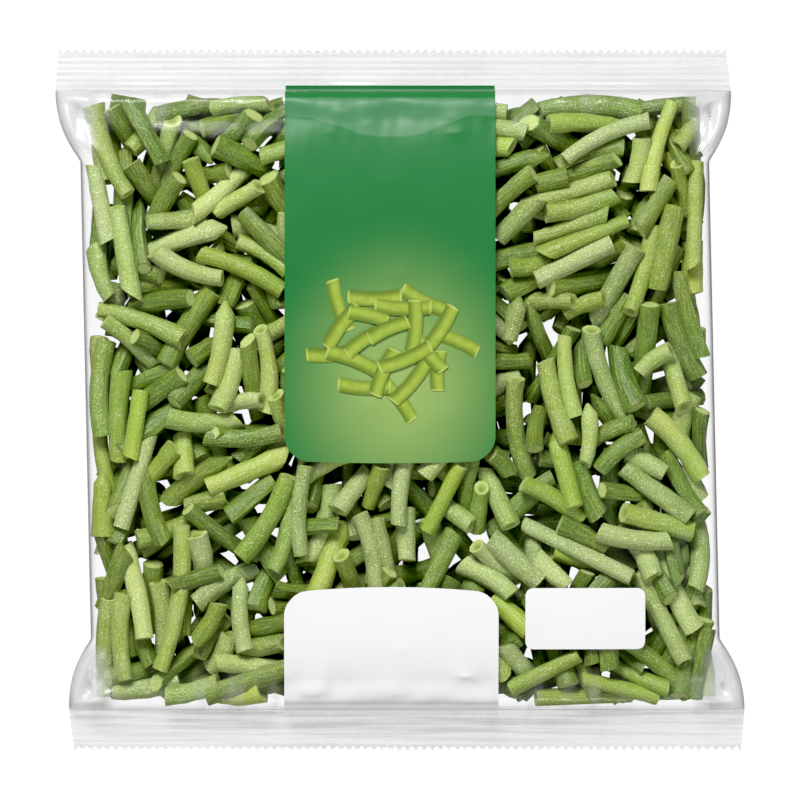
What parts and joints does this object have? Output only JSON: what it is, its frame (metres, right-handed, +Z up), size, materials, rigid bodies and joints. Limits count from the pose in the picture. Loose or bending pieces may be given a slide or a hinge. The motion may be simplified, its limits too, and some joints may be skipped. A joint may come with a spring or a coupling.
{
  "type": "bag of frozen cut green beans",
  "caption": "Clear pillow bag with crimped, zigzag-cut ends, lying flat and filled with straight-cut green beans that are frozen together in clumps.",
  "frame": {"origin": "on the table, under the middle of the bag, which lies on its back with its printed face up", "axes": "+Z up out of the printed face, +Y towards the top seal, +X to the right as the face is read"},
  "size_m": [0.2652, 0.27, 0.034],
  "materials": {
    "film": "clear gloss film",
    "bean_green": "frosted bean skin, mid green",
    "bean_light_green": "frosted bean skin, yellow-green",
    "bean_dark_green": "frosted bean skin, dark green"
  },
  "bodies": {
    "root": {"bag_film": "film", "bean_clump_01": "bean_light_green", "bean_clump_02": "bean_dark_green", "bean_clump_03": "bean_green", "bean_clump_04": "bean_light_green", "bean_clump_05": "bean_dark_green", "bean_clump_06": "bean_green", "bean_clump_07": "bean_light_green", "bean_clump_08": "bean_dark_green", "bean_clump_09": "bean_green", "bean_clump_10": "bean_light_green", "bean_clump_11": "bean_dark_green", "bean_clump_12": "bean_green", "bean_clump_13": "bean_light_green", "bean_clump_14": "bean_dark_green", "bean_clump_15": "bean_green", "bean_clump_16": "bean_light_green", "bean_clump_17": "bean_dark_green", "bean_clump_18": "bean_green", "bean_clump_19": "bean_light_green", "bean_clump_20": "bean_dark_green", "bean_clump_21": "bean_green", "bean_clump_22": "bean_light_green", "bean_clump_23": "bean_dark_green", "bean_clump_24": "bean_green", "bean_clump_25": "bean_light_green", "bean_clump_26": "bean_dark_green", "bean_clump_27": "bean_green", "bean_clump_28": "bean_light_green", "bean_clump_29": "bean_dark_green", "bean_clump_30": "bean_green", "bean_clump_31": "bean_light_green", "bean_clump_32": "bean_dark_green", "bean_clump_33": "bean_green", "bean_clump_34": "bean_light_green", "bean_clump_35": "bean_dark_green", "bean_clump_36": "bean_green", "bean_clump_37": "bean_light_green", "bean_clump_38": "bean_dark_green", "bean_clump_39": "bean_green", "bean_clump_40": "bean_light_green", "bean_clump_41": "bean_dark_green", "bean_clump_42": "bean_green", "bean_clump_43": "bean_light_green", "bean_clump_44": "bean_dark_green", "bean_clump_45": "bean_green", "bean_clump_46": "bean_light_green", "bean_clump_47": "bean_dark_green", "bean_clump_48": "bean_green", "bean_clump_49": "bean_light_green", "bean_clump_50": "bean_dark_green", "bean_clump_51": "bean_green", "bean_clump_52": "bean_light_green", "bean_clump_53": "bean_dark_green", "bean_clump_54": "bean_green", "bean_clump_55": "bean_light_green"}
  },
  "joints": []
}
